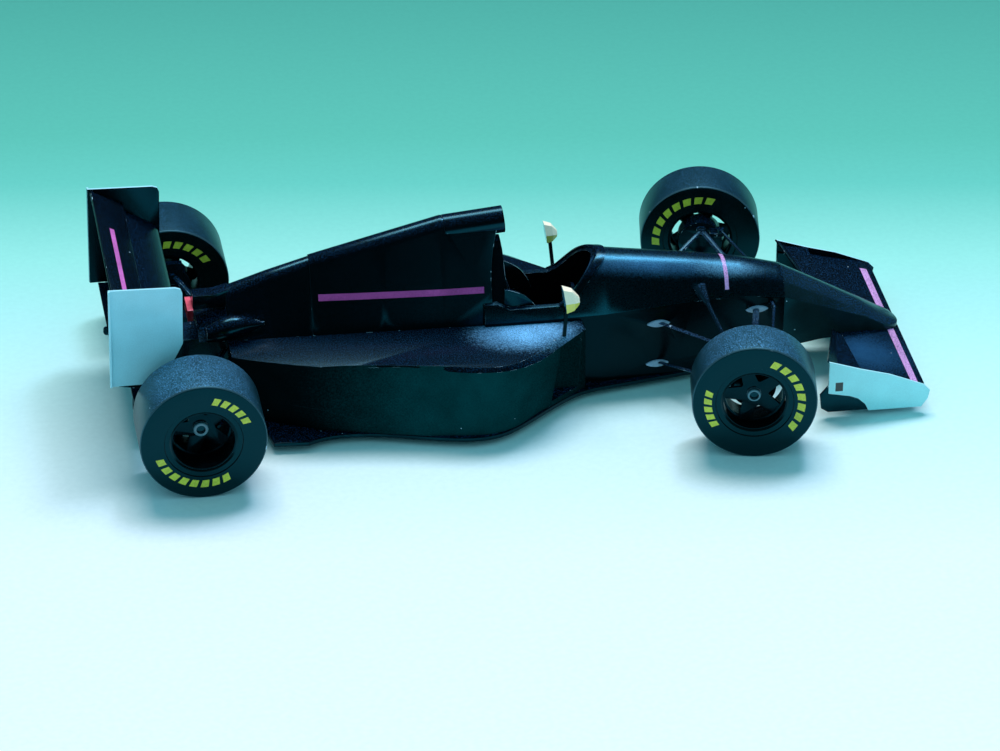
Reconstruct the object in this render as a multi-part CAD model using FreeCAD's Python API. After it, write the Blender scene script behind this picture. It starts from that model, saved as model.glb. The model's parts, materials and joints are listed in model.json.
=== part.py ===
import FreeCAD, Part
import math
import os

# A 1:24 card model of a single-seat open wheel racing car of the middle 1990s.
# Millimetres, at the model's own size. +X is forward, +Y is the car's left, +Z is up, and the
# floor is z = 0. The origin lies on the floor below the middle of the car's length.
# Stations along the car are measured from the rear axle (rear) or from the front axle (front).

V = FreeCAD.Vector
UP = V(0, 0, 1)
LEFTWARD = V(0, 1, 0)

# Layout
WHEELBASE = 122.0
REAR_OVERHANG = 18.1          # rear axle to the rear edge of the rear wing's end plates
FRONT_OVERHANG = 40.6         # front axle to the tip of the front wing's end plates
RIDE_HEIGHT = 1.5             # underside of the floor above the ground
CARD = 0.5                    # laminated card of plates, flaps and fences
RUN_GAP = 0.06                # radial clearance of an axle in its hub
SEAT_GAP = 0.1                # clearance between faces that slide over each other

REAR_AXLE_X = -(WHEELBASE + FRONT_OVERHANG - REAR_OVERHANG) / 2
FRONT_AXLE_X = REAR_AXLE_X + WHEELBASE

# Wheels
FRONT_TYRE_R = 13.65
FRONT_TYRE_W = 10.5
FRONT_WHEEL_Y = 36.8          # centre plane of a front wheel
REAR_TYRE_R = 13.75
REAR_TYRE_W = 14.2
REAR_WHEEL_Y = 34.7
RIM_R = 7.0                   # bead seat of both rims
RIM_WALL = 0.25
SPOKES = 5
SPOKE_DISC = 0.7              # thickness of the spoked disc
WINDOW_APEX = 3.2             # radius at which a window between two spokes comes to its point
WINDOW_R = 6.3                # and its round outer side
WINDOW_HALF = 2.6             # half its width at that side
FRONT_HUB_R = 1.5
REAR_HUB_R = 1.68
AXLE_R = 0.95
FRONT_HUB_DEPTH = 3.0         # hub end below the tyre's outer face
REAR_HUB_DEPTH = 5.4
HUB_STAND = 1.0               # hub end stands this far out of the spoked disc
TYRE_STEP_R = 8.4             # raised ring on the sidewall
TYRE_STEP = 0.25
TYRE_SHOULDER = 0.7

# Steering
KINGPIN_Y = 29.0
KINGPIN_R = 0.5
STEER_AT_REST = -9.0          # the wheels point to the right in the photograph
STEER_ARM = 4.2               # ahead of the kingpin
RACK_FORWARD = 9.0            # rack ahead of the front axle
RACK_Z = FRONT_TYRE_R + 4.25
RACK_R = 0.5
DRUM_R = 5.0
DRUM_INNER_Y = 30.6
DRUM_LENGTH = 4.4
UPPER_JOINT_Z = FRONT_TYRE_R + 3.95
LOWER_JOINT_Z = FRONT_TYRE_R - 4.05
EYE_R = 1.0
EYE_THICK = 1.0

# Body
FLOOR_THICK = 1.0
TUB_WALL = 1.8
TUB_HALF = 9.5                # half width of the tub beside the cockpit
TUB_REAR = 66.0
PEDALS = 103.0                # front bulkhead of the cockpit's hollow
POD_TOP_Z = 18.5
RIM_Z = 21.9                  # cockpit rim beside the driver
COCKPIT_REAR = 71.0
COCKPIT_FRONT = 82.7          # where the rim starts to climb
SCREEN_TOP = 93.0             # station of the cowl's highest edge
SCREEN_TOP_Z = 31.2
NOSE_SEAM = 12.0              # joint of the nose cone ahead of the front axle
NOSE_TIP = 39.4

# Wings
REAR_PLATE_Y = 22.85          # inner face of an end plate
FRONT_PLATE_Y = 27.75
BEAM_Z = 17.0
AEROFOIL = 0.8                # thickness of the wing planes

FLOOR_TOP_Z = RIDE_HEIGHT + FLOOR_THICK


def rear(station):
    return REAR_AXLE_X + station


def front(station):
    return FRONT_AXLE_X + station


# A station between the axles moves with the wheelbase as far as it lies from the rear axle.
def tub(station):
    return REAR_AXLE_X + station * WHEELBASE / 122.0


def mirrored(shape):
    return shape.mirror(V(0, 0, 0), LEFTWARD)


def both(shape):
    return Part.makeCompound([shape, mirrored(shape)])


def fused(first, *others):
    return first.fuse(list(others)).removeSplitter()


def block(x0, x1, y0, y1, z0, z1):
    return Part.makeBox(x1 - x0, y1 - y0, z1 - z0, V(x0, y0, z0))


def rod(start, end, radius):
    return Part.makeCylinder(radius, (end - start).Length, start, end - start)


# A side view outline of (x, z) points, extruded across the car from y0 to y1.
def side_panel(points, y0, y1):
    ring = [V(x, y0, z) for x, z in points]
    face = Part.Face(Part.makePolygon(ring + ring[:1]))
    return face.extrude(V(0, y1 - y0, 0))


# A closed outline of (x, z) points in the plane y.
def rib(points, y):
    ring = [V(x, y, z) for x, z in points]
    return Part.makePolygon(ring + ring[:1])


def smooth_edge(points):
    curve = Part.BSplineCurve()
    curve.interpolate(points)
    return curve.toShape()


# A suspension leg is a folded strip with a lens section, chord along the car.
def leg(start, end, chord=1.5, thick=0.55):
    def lens(centre):
        x, y, z = centre
        return rib([(x - chord / 2, z), (x - chord / 5, z + thick / 2), (x + chord / 4, z + thick / 2),
                    (x + chord / 2, z), (x + chord / 4, z - thick / 2), (x - chord / 5, z - thick / 2)], y)
    return Part.makeLoft([lens(start), lens(end)], True, True)


# Wheels. Each is drawn about the Y axis with its outer face towards +Y, then set in place.
def ring(profile):
    points = [V(r, y, 0) for r, y in profile]
    face = Part.Face(Part.makePolygon(points + points[:1]))
    return face.revolve(V(0, 0, 0), LEFTWARD, 360)


def tyre(radius, width):
    half = width / 2
    dip = half - TYRE_STEP
    outer = [(RIM_R, dip - 0.3), (RIM_R + 0.4, dip), (TYRE_STEP_R, dip), (TYRE_STEP_R + 0.15, half),
             (radius - TYRE_SHOULDER, half), (radius - 0.2 * TYRE_SHOULDER, half - 0.25 * TYRE_SHOULDER),
             (radius, half - TYRE_SHOULDER)]
    inner = [(r, -y) for r, y in reversed(outer)]
    return ring(outer + inner)


# A window between two spokes: a point towards the hub, straight sides and a round outer side.
def spoke_window(thickness):
    corner_x = math.sqrt(WINDOW_R ** 2 - WINDOW_HALF ** 2)
    point = 0.25
    a, b = V(WINDOW_APEX, 0, -point), V(corner_x, 0, -WINDOW_HALF)
    c, d = V(corner_x, 0, WINDOW_HALF), V(WINDOW_APEX, 0, point)
    edges = [Part.makeLine(a, b), Part.Arc(b, V(WINDOW_R, 0, 0), c).toShape(),
             Part.makeLine(c, d), Part.makeLine(d, a)]
    return Part.Face(Part.Wire(edges)).extrude(V(0, thickness, 0))


# The first window stands at this angle from straight ahead, upwards.
def rim(width, hub_depth, hub_r, first_window):
    half = width / 2
    bore = AXLE_R + RUN_GAP
    inner_r = RIM_R - RIM_WALL
    hub_end = half - hub_depth
    disc_out = hub_end - HUB_STAND
    disc_in = disc_out - SPOKE_DISC
    hub_in = disc_in - 1.4
    edge_out = half - TYRE_STEP - 0.35
    body = ring([(bore, hub_in), (bore, hub_end), (hub_r - 0.2, hub_end), (hub_r, hub_end - 0.2),
                 (hub_r, disc_out), (inner_r, disc_out), (inner_r, edge_out), (RIM_R, edge_out),
                 (RIM_R, -edge_out), (inner_r, -edge_out), (inner_r, disc_in), (hub_r + 0.4, disc_in),
                 (hub_r, hub_in)])
    window = spoke_window(SPOKE_DISC + 1.0)
    window.translate(V(0, disc_in - 0.5, 0))
    windows = []
    for number in range(SPOKES):
        turned = window.copy()
        turned.rotate(V(0, 0, 0), LEFTWARD, -first_window - 360.0 / SPOKES * number)
        windows.append(turned)
    return body.cut(windows)


def place_left(shape, axle_x, wheel_y, radius):
    moved = shape.copy()
    moved.translate(V(axle_x, wheel_y, radius))
    return moved


# What is steered turns about its kingpin, so both sides are turned the same way at rest.
def steered(shape, side):
    turned = shape.copy()
    turned.rotate(V(FRONT_AXLE_X, side * KINGPIN_Y, 0), UP, STEER_AT_REST)
    return turned


def pair_steered(shape):
    return steered(shape, 1), steered(mirrored(shape), -1)


front_tyre = place_left(tyre(FRONT_TYRE_R, FRONT_TYRE_W), FRONT_AXLE_X, FRONT_WHEEL_Y, FRONT_TYRE_R)
front_rims = [place_left(rim(FRONT_TYRE_W, FRONT_HUB_DEPTH, FRONT_HUB_R, angle), FRONT_AXLE_X,
                         FRONT_WHEEL_Y, FRONT_TYRE_R) for angle in (31.0, 0.0)]
rear_tyre = place_left(tyre(REAR_TYRE_R, REAR_TYRE_W), REAR_AXLE_X, REAR_WHEEL_Y, REAR_TYRE_R)
rear_rims = [place_left(rim(REAR_TYRE_W, REAR_HUB_DEPTH, REAR_HUB_R, angle), REAR_AXLE_X,
                        REAR_WHEEL_Y, REAR_TYRE_R) for angle in (20.0, 0.0)]


# Uprights. The front one carries the stub axle, the kingpins and the steering arm.
def stub_axle(axle_x, start_y, wheel_y, width, hub_depth, radius):
    end_y = wheel_y + width / 2 - hub_depth - 0.6
    return rod(V(axle_x, start_y, radius), V(axle_x, end_y, radius), AXLE_R)


def drum(axle_x, inner_y, radius):
    # Brake drum with a cooling scoop's flat lip on its inner face.
    body = rod(V(axle_x, inner_y, radius), V(axle_x, inner_y + DRUM_LENGTH, radius), DRUM_R)
    recess = rod(V(axle_x, inner_y + DRUM_LENGTH - 0.6, radius),
                 V(axle_x, inner_y + DRUM_LENGTH, radius), DRUM_R - 0.8)
    return body.cut(recess)


def front_upright():
    x = FRONT_AXLE_X
    z = FRONT_TYRE_R
    eye_room = EYE_THICK / 2 + SEAT_GAP
    upper_lug = block(x - 0.9, x + 0.9, KINGPIN_Y - 0.8, DRUM_INNER_Y + 0.5,
                      UPPER_JOINT_Z - eye_room - 0.9, UPPER_JOINT_Z - eye_room)
    lower_lug = block(x - 0.9, x + 0.9, KINGPIN_Y - 0.8, DRUM_INNER_Y + 0.5,
                      LOWER_JOINT_Z + eye_room, LOWER_JOINT_Z + eye_room + 0.9)
    upper_pin = rod(V(x, KINGPIN_Y, UPPER_JOINT_Z - EYE_THICK / 2 - SEAT_GAP - 0.4),
                    V(x, KINGPIN_Y, UPPER_JOINT_Z + EYE_THICK / 2 + 0.2), KINGPIN_R)
    lower_pin = rod(V(x, KINGPIN_Y, LOWER_JOINT_Z - EYE_THICK / 2 - 0.2),
                    V(x, KINGPIN_Y, LOWER_JOINT_Z + EYE_THICK / 2 + SEAT_GAP + 0.4), KINGPIN_R)
    arm = block(x + STEER_ARM - 2.2, x + STEER_ARM + 0.8, KINGPIN_Y - 1.2, DRUM_INNER_Y + 0.6,
                RACK_Z - 1.4, RACK_Z - 0.6)
    axle = stub_axle(x, DRUM_INNER_Y + 1, FRONT_WHEEL_Y, FRONT_TYRE_W, FRONT_HUB_DEPTH, z)
    return fused(drum(x, DRUM_INNER_Y, z), upper_lug, lower_lug, upper_pin, lower_pin, arm, axle)


REAR_UPRIGHT_Y = 26.4


def rear_upright():
    x = REAR_AXLE_X
    z = REAR_TYRE_R
    axle = stub_axle(x, REAR_UPRIGHT_Y + 1, REAR_WHEEL_Y, REAR_TYRE_W, REAR_HUB_DEPTH, z)
    scoop = block(x - 1.2, x + 3.0, REAR_UPRIGHT_Y - 0.6, REAR_UPRIGHT_Y + 1, z + 1.0, z + DRUM_R + 1.2)
    return fused(drum(x, REAR_UPRIGHT_Y, z), axle, scoop)


# Wishbones. Two legs meet in the eye that holds the kingpin. Each starts inside the tub's side,
# at a point of station, y and z.
def front_wishbone(joint_z, rear_start, front_start):
    x = FRONT_AXLE_X
    eye = rod(V(x, KINGPIN_Y, joint_z - EYE_THICK / 2), V(x, KINGPIN_Y, joint_z + EYE_THICK / 2), EYE_R)
    apex_y = KINGPIN_Y - 0.4
    legs = [leg((front(start[0]), start[1], start[2]), (x + offset, apex_y, joint_z))
            for start, offset in ((rear_start, -0.2), (front_start, 0.2))]
    pin_hole = rod(V(x, KINGPIN_Y, joint_z - 3), V(x, KINGPIN_Y, joint_z + 3), KINGPIN_R + RUN_GAP)
    return fused(eye, *legs).cut(pin_hole)


# Where the legs enter the tub: station from the front axle, y and z.
UPPER_REAR = (-17.0, 7.9, 15.8)
UPPER_FRONT = (5.6, 6.0, 16.6)
LOWER_REAR = (-17.0, 7.8, 5.6)
LOWER_FRONT = (4.6, 5.8, 5.8)
LUG_LENGTH = 5.2
LUG_HEIGHT = 1.6
LUG_STAND = 0.45              # how far a lug stands out of the tub's side


# A lens-shaped lug on the tub's side round the inner end of a wishbone leg.
def wishbone_lug(start):
    station, y, z = start
    x = front(station)
    crown = (LUG_LENGTH ** 2 / LUG_HEIGHT + LUG_HEIGHT) / 4
    inner = y - 1.5
    offset = crown - LUG_HEIGHT / 2
    disc_low = rod(V(x, inner, z + offset), V(x, inner + 8, z + offset), crown)
    disc_high = rod(V(x, inner, z - offset), V(x, inner + 8, z - offset), crown)
    lens = disc_low.common(disc_high)
    return lens.common(tub_loft(TUB_SECTIONS, LUG_STAND))


# The tub: a folded card shell whose section is flat below, upright beside and rounded above.
# Each row is station, bottom half width and z, crease, shoulder, and the top's z.
TUB_SECTIONS = [
    (tub(TUB_REAR), TUB_HALF, FLOOR_TOP_Z, TUB_HALF, 19.2, TUB_HALF - 2.5, 27.0, 32.3),
    (tub(80.0), TUB_HALF, FLOOR_TOP_Z, TUB_HALF, 19.2, TUB_HALF - 2.6, 27.0, 31.6),
    (tub(93.0), TUB_HALF - 0.1, FLOOR_TOP_Z, TUB_HALF - 0.3, 19.4, TUB_HALF - 3.1, 26.7, 30.6),
    (front(-9.0), 7.5, FLOOR_TOP_Z, 7.8, 20.3, 5.4, 25.0, 27.9),
    (front(3.0), 6.4, 3.6, 6.8, 20.2, 4.9, 23.8, 25.9),
    (front(NOSE_SEAM), 5.6, 5.6, 6.1, 18.8, 4.4, 21.8, 23.5),
]
NOSE_SECTIONS = [
    (front(NOSE_SEAM), 5.6, 5.6, 6.1, 18.8, 4.4, 21.8, 23.5),
    (front(21.0), 5.1, 6.9, 5.5, 15.4, 4.0, 17.4, 18.6),
    (front(31.0), 4.5, 7.3, 4.8, 11.6, 3.5, 12.3, 12.9),
    (front(36.0), 4.5, 7.3, 4.6, 8.9, 3.4, 9.3, 9.6),
    (front(NOSE_TIP) + 0.3, 4.4, 6.5, 4.4, 7.3, 3.0, 7.5, 7.6),
]
NOSE_TIP_R = 4.6              # the tip is round in plan


def tub_wire(row, grow=0.0):
    x, low_y, low_z, crease_y, crease_z, shoulder_y, shoulder_z, top_z = row
    low = V(x, low_y + grow, low_z - grow)
    crease = V(x, crease_y + grow, crease_z)
    shoulder = V(x, shoulder_y + grow, shoulder_z + grow * 0.5)
    top = V(x, 0, top_z + grow)

    def other(p):
        return V(p.x, -p.y, p.z)
    return Part.Wire([
        Part.makeLine(other(low), low), Part.makeLine(low, crease), Part.makeLine(crease, shoulder),
        Part.Arc(shoulder, top, other(shoulder)).toShape(),
        Part.makeLine(other(shoulder), other(crease)), Part.makeLine(other(crease), other(low))])


def tub_loft(rows, grow=0.0):
    return Part.makeLoft([tub_wire(row, grow) for row in rows], True, True)


# A point of the climbing rim, as shares of its length and of its height.
def rim_point(along, up):
    return (tub(COCKPIT_FRONT + along * (SCREEN_TOP - COCKPIT_FRONT)),
            RIM_Z + up * (SCREEN_TOP_Z - RIM_Z))


# The cockpit's rim line in side view. It drops from the cover to the driver's side, and climbs
# from there to the cowl's top edge.
SCREEN_LINE = [rim_point(0, 0), rim_point(0.2, 0.13), rim_point(0.38, 0.37),
               rim_point(0.59, 0.64), rim_point(0.77, 0.83), rim_point(1, 1)]
RIM_RISE = 1.3
RIM_LINE = [(tub(COCKPIT_REAR) - 6, RIM_Z + RIM_RISE), (tub(COCKPIT_REAR) - 2.2, RIM_Z + RIM_RISE),
            (tub(COCKPIT_REAR) + 0.8, RIM_Z)] + SCREEN_LINE


def above_rim():
    high = SCREEN_TOP_Z + 6
    outline = RIM_LINE + [(tub(SCREEN_TOP), high), (tub(COCKPIT_REAR) - 6, high)]
    return side_panel(outline, -TUB_HALF - 3, TUB_HALF + 3)


def monocoque():
    side = TUB_HALF - TUB_WALL
    floor_z = FLOOR_TOP_Z + 1.2
    hollow_rows = [
        (tub(COCKPIT_REAR) + 0.6, side, floor_z, side + 0.2, 19.2, side - 1.7, 26.0, 31.2),
        (tub(80.0), side, floor_z, side + 0.2, 19.2, side - 1.7, 26.2, 30.6),
        (tub(93.0), side - 0.1, floor_z, side + 0.1, 19.4, side - 2.1, 25.9, 29.7),
        (tub(PEDALS), side - 1.1, floor_z, side - 0.7, 19.8, side - 2.7, 24.8, 27.4),
    ]
    lugs = [both(wishbone_lug(start)) for start in (UPPER_REAR, UPPER_FRONT, LOWER_REAR, LOWER_FRONT)]
    shell = fused(tub_loft(TUB_SECTIONS), *lugs).cut(above_rim()).cut(tub_loft(hollow_rows))
    bore = rod(V(front(RACK_FORWARD), -TUB_HALF, RACK_Z), V(front(RACK_FORWARD), TUB_HALF, RACK_Z),
               RACK_R + 0.2)
    return shell.cut(bore)


def windscreen():
    # A strip of card round the cowl's cut edge, standing a little proud of it all the way.
    slab_back = [(x - 0.2, z + 0.2) for x, z in SCREEN_LINE]
    slab_front = [(x + 1.1, z - 0.5) for x, z in reversed(SCREEN_LINE)]
    slab = side_panel(slab_back + slab_front, -TUB_HALF - 3, TUB_HALF + 3)
    rows = TUB_SECTIONS[:4]
    band = tub_loft(rows, 0.4).cut(tub_loft(rows))
    strip = band.common(slab)
    return max(strip.Solids, key=lambda solid: solid.Volume)


def nose_cone(wing):
    tip_x = front(NOSE_TIP) - NOSE_TIP_R
    plan = fused(block(front(NOSE_SEAM), tip_x, -TUB_HALF, TUB_HALF, 0, SCREEN_TOP_Z),
                 rod(V(tip_x, 0, 0), V(tip_x, 0, SCREEN_TOP_Z), NOSE_TIP_R))
    return tub_loft(NOSE_SECTIONS).common(plan).cut(wing)


# Floor: one flat sheet, widest beside the tanks, narrow under the driver's legs.
FLOOR_SIDE = [(24.8, 26.1), (51.0, 27.7), (66.3, 28.7), (73.8, 23.7), (79.3, 18.9), (85.5, 14.1),
              (92.0, 11.6)]


def floor_plate():
    side = [V(tub(x), y, RIDE_HEIGHT) for x, y in FLOOR_SIDE]
    tip = V(front(-9.0), 7.5, RIDE_HEIGHT)
    tail = [V(rear(8.0), 17.0, RIDE_HEIGHT), V(rear(15.6), 17.6, RIDE_HEIGHT),
            V(rear(17.0), 25.6, RIDE_HEIGHT)]

    def other(points):
        return [V(p.x, -p.y, p.z) for p in points]
    edges = [smooth_edge(side), Part.makeLine(side[-1], tip), Part.makeLine(tip, other([tip])[0]),
             Part.makeLine(other([tip])[0], other([side[-1]])[0]), smooth_edge(other(side))]
    back = other([side[0]]) + list(reversed(other(tail))) + tail + [side[0]]
    for first, second in zip(back, back[1:]):
        edges.append(Part.makeLine(first, second))
    outline = Part.Wire(Part.__sortEdges__(edges))
    return Part.Face(outline).extrude(V(0, 0, FLOOR_THICK))


def diffuser():
    points = [(rear(8.0), RIDE_HEIGHT), (rear(-12.0), 6.4), (rear(-12.0), 7.0), (rear(8.0), FLOOR_TOP_Z)]
    sheet = side_panel(points, -17.0, 17.0)
    fence = [(rear(8.0), RIDE_HEIGHT), (rear(-12.0), 3.4), (rear(-12.0), 6.4)]
    fences = [side_panel(fence, y, y + CARD) for y in (-17.0, -8.5, 8.0, 17.0 - CARD)]
    return fused(sheet, *fences)


# Sidepods: a straight sided shell between its outlines at the floor, at the flank's top fold and
# at the deck, hollowed at its mouth and undercut towards the rear above the floor.
POD_DECK = [(28.0, 21.6), (40.0, 22.5), (48.0, 23.9), (56.6, 25.5), (63.0, 26.8), (68.8, 26.5),
            (75.0, 22.6), (79.4, 18.9)]
POD_FOLD = [(28.0, 21.7), (40.0, 22.0), (48.0, 23.2), (56.6, 26.4), (62.5, 27.6), (68.5, 27.5),
            (75.7, 24.2), (79.6, 20.4)]
POD_LOW = [(28.0, 25.6), (40.0, 26.4), (48.0, 27.0), (56.6, 27.9), (65.0, 28.3), (70.6, 25.9), (74.6, 22.3),
           (79.2, 18.6)]
POD_INNER = 7.0
POD_TAIL = 9.3                # station of the pods' rear end
POD_EDGE = 0.9                # the fold lies this far below the deck


def pod_wire(side, tail, mouth, z):
    points = [V(tub(x), y, z) for x, y in side]
    start = V(rear(tail[0]), POD_INNER, z)
    tail_end = V(rear(tail[0]), tail[1], z)
    mouth_end = V(tub(mouth[0]), mouth[1], z)
    close = V(tub(mouth[0]), POD_INNER, z)
    flank = Part.Arc(tail_end, V((tail_end.x + points[0].x) / 2, (tail_end.y + points[0].y) / 2 + 0.4, z),
                     points[0]).toShape()
    return Part.Wire([Part.makeLine(start, tail_end), flank, smooth_edge(points),
                      Part.makeLine(points[-1], mouth_end), Part.makeLine(mouth_end, close),
                      Part.makeLine(close, start)])


def sidepod():
    low = pod_wire(POD_LOW, (POD_TAIL, 13.2), (88.3, 11.4), FLOOR_TOP_Z)
    fold = pod_wire(POD_FOLD, (POD_TAIL, 15.0), (88.0, 11.9), POD_TOP_Z - POD_EDGE)
    deck = pod_wire(POD_DECK, (POD_TAIL, 14.8), (87.5, 11.4), POD_TOP_Z)
    body = Part.makeLoft([low, fold, deck], True, True)
    tub_room = block(tub(TUB_REAR), tub(92.0), 0, TUB_HALF, 0, POD_TOP_Z + 2)
    # The mouth looks forward and outward along the slanted front edge.
    corner = V(tub(79.2), 18.4, 0)
    inner = V(tub(88.1), 11.5, 0)
    along = (inner - corner).normalize()
    lip = 1.3
    start = corner + along * lip + V(3, 1, 0)
    end = inner - along * (lip - 0.4) + V(3, 1, 0)
    mouth_floor = FLOOR_TOP_Z + lip
    mouth_points = [V(p.x, p.y, mouth_floor) for p in (start, end, end - V(14, 0, 0), start - V(12, 0, 0))]
    mouth = Part.Face(Part.makePolygon(mouth_points + mouth_points[:1]))
    mouth = mouth.extrude(V(0, 0, POD_TOP_Z - lip - mouth_floor))

    def undercut_wire(station, crease_z, y):
        x = tub(station)
        slope_in = (crease_z - FLOOR_TOP_Z) * 0.42
        ring_points = [V(x, y, crease_z), V(x, y + 12, crease_z), V(x, y + 12, FLOOR_TOP_Z - 1),
                       V(x, y - slope_in, FLOOR_TOP_Z - 1)]
        return Part.makePolygon(ring_points + ring_points[:1])
    undercut = Part.makeLoft([undercut_wire(POD_TAIL - 3.0, 15.4, 16.1), undercut_wire(28.0, 10.0, 24.3),
                              undercut_wire(52.0, FLOOR_TOP_Z + 0.4, 27.6)], True, True)
    return body.cut([tub_room, mouth, undercut])


# Engine cover: a tall narrow shell from the roll hoop down to the tail.
def cover_wire(x, bottom_y, top_y, top_z, round_z, base_z=POD_TOP_Z):
    low = V(x, bottom_y, base_z)
    shoulder = V(x, top_y, top_z - round_z)
    return Part.Wire([
        Part.makeLine(V(x, -bottom_y, base_z), low), Part.makeLine(low, shoulder),
        Part.Arc(shoulder, V(x, 0, top_z), V(x, -top_y, top_z - round_z)).toShape(),
        Part.makeLine(V(x, -top_y, top_z - round_z), V(x, -bottom_y, base_z))])


INTAKE_R = 3.0
INTAKE_REAR = V(tub(58.0), 0, 38.9)
INTAKE_FRONT = V(tub(71.2), 0, 40.2)
COVER_SEAM = 28.0
TAIL_HALF = 1.7               # half width of the spine's tail, which carries the light
TAIL_END = 2.3


def airbox():
    axis = INTAKE_FRONT - INTAKE_REAR
    tube = Part.makeCylinder(INTAKE_R, axis.Length, INTAKE_REAR, axis)
    throat = Part.makeCone(INTAKE_R - 0.9, INTAKE_R - 0.4, 5.0, INTAKE_FRONT - axis.normalize() * 5.0, axis)
    return tube.cut(throat)


def engine_cover(tube_solid):
    rows = [cover_wire(tub(COVER_SEAM), 8.0, 2.4, 34.2, 1.7), cover_wire(tub(44.0), 8.3, 2.6, 38.4, 1.8),
            cover_wire(tub(57.0), 8.6, 2.8, 41.8, 2.0), cover_wire(tub(71.5), 9.0, 2.6, 42.0, 2.0)]
    body = Part.makeLoft(rows, True, True)
    # The front edge curves in between the intake and the tub.
    back = tub(COCKPIT_REAR)
    top = V(back - 0.5, -12, 42.6)
    waist = V(back - 3.1, -12, 31.0)
    foot = V(back - 2.2, -12, POD_TOP_Z - 1)
    low_front = V(back + 4, -12, POD_TOP_Z - 1)
    high_front = V(back + 4, -12, 42.6)
    face_cut = Part.Face(Part.Wire([
        Part.Arc(top, waist, foot).toShape(), Part.makeLine(foot, low_front),
        Part.makeLine(low_front, high_front), Part.makeLine(high_front, top)])).extrude(V(0, 24, 0))
    tub_room = tub_loft(TUB_SECTIONS[:2]).cut(above_rim())
    return body.cut([face_cut, tube_solid, tub_room])


# The blister over an exhaust: round sections of station, y, z and radius, open at the rear.
BLISTER = [(17.5, 6.0, 21.5, 0.4), (13.5, 6.4, 21.5, 1.9), (9.4, 6.9, 21.4, 2.6), (6.2, 7.2, 20.7, 2.1),
           (4.6, 7.3, 20.3, 1.7)]


def blister(rows):
    circles = [Part.Wire(Part.makeCircle(radius, V(rear(station), y, z), V(1, 0, 0)))
               for station, y, z, radius in rows]
    return Part.makeLoft(circles, True)


def rear_cover():
    rows = [cover_wire(rear(9.6), 7.0, 2.3, 27.9, 1.2), cover_wire(rear(18.5), 7.7, 2.3, 31.0, 1.5),
            cover_wire(tub(COVER_SEAM), 7.9, 2.2, 33.9, 1.6)]
    body = Part.makeLoft(rows, True, True)
    tail = side_panel([(rear(TAIL_END), 23.7), (rear(TAIL_END), 26.9), (rear(6.9), 27.0),
                       (rear(10.2), 27.9), (rear(10.2), 23.7)], -TAIL_HALF, TAIL_HALF)
    deck = Part.makeLoft([cover_wire(rear(3.0), 7.2, 3.4, 21.0, 0.5),
                          cover_wire(rear(12.0), 7.6, 4.0, 24.0, 0.5),
                          cover_wire(tub(COVER_SEAM) - 4.0, 7.8, 4.0, 24.0, 0.5)], True, True)
    throat = rod(V(rear(4.0), 7.35, 20.2), V(rear(8.0), 7.0, 21.0), 1.2)
    return fused(body, tail, deck, both(blister(BLISTER))).cut(both(throat))


def gearbox():
    def frame_wire(x, half, low_z, top_z):
        ring_points = [V(x, -half, low_z), V(x, half, low_z), V(x, half, top_z), V(x, -half, top_z)]
        return Part.makePolygon(ring_points + ring_points[:1])
    casing = Part.makeLoft([frame_wire(rear(30.0), POD_INNER, FLOOR_TOP_Z, POD_TOP_Z),
                            frame_wire(rear(12.0), 5.2, 4.2, POD_TOP_Z),
                            frame_wire(rear(-3.0), 3.4, 6.8, BEAM_Z),
                            frame_wire(rear(-14.5), 2.2, 11.5, BEAM_Z)], True, True)
    below = side_panel([(rear(31.0), RIDE_HEIGHT - 2), (rear(31.0), FLOOR_TOP_Z), (rear(8.0), FLOOR_TOP_Z),
                        (rear(-16.0), 8.1), (rear(-16.0), RIDE_HEIGHT - 2)], -12, 12)
    return casing.cut(below)


def tail_light():
    # A wide box on the end of the spine's tail, its lens set in a rim.
    half = 3.1
    low_z = 21.5
    top_z = 24.3
    rim_wide = 0.4
    box = block(rear(1.0), rear(TAIL_END), -half, half, low_z, top_z)
    lens_room = block(rear(0.9), rear(1.2), rim_wide - half, half - rim_wide, low_z + rim_wide,
                      top_z - rim_wide)
    return box.cut(lens_room)


# Rear wing
def rear_wing():
    span = REAR_PLATE_Y
    main = side_panel([(rear(-2.6), 31.0), (rear(-3.4), 32.2), (rear(-6.8), 34.2), (rear(-10.6), 36.7),
                       (rear(-11.0), 36.2), (rear(-7.2), 33.0), (rear(-4.2), 31.2)], -span, span)
    flap = side_panel([(rear(-10.4), 37.3), (rear(-10.2), 37.9), (rear(-13.4), 39.6), (rear(-17.2), 41.6),
                       (rear(-17.5), 41.2), (rear(-13.8), 38.6)], -span, span)
    beam = side_panel([(rear(-5.6), BEAM_Z), (rear(-6.4), BEAM_Z + AEROFOIL), (rear(-11.0), BEAM_Z + 1.1),
                       (rear(-16.2), BEAM_Z + 1.3), (rear(-16.2), BEAM_Z + 0.9), (rear(-11.0), BEAM_Z)],
                      -span, span)
    # Round jacking lug behind the middle of the beam.
    lug = rod(V(rear(-16.4), -0.5, BEAM_Z + 1.9), V(rear(-16.4), 0.5, BEAM_Z + 1.9), 0.9)
    return main, flap, fused(beam, lug)


def rear_end_plate():
    back = rear(-REAR_OVERHANG + 0.1)
    outline = [(back, 41.9), (rear(-3.6), 41.6), (rear(-2.5), 41.2), (rear(-2.1), 40.2), (rear(-2.2), 27.9),
               (rear(-3.8), 24.6), (rear(-8.0), 18.4), (back, 18.3)]
    plate = side_panel(outline, REAR_PLATE_Y, REAR_PLATE_Y + CARD)
    flange = block(back - 0.1, back + 0.35, REAR_PLATE_Y + CARD, REAR_PLATE_Y + CARD + 0.5, 18.3, 41.9)
    return fused(plate, flange)


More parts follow.
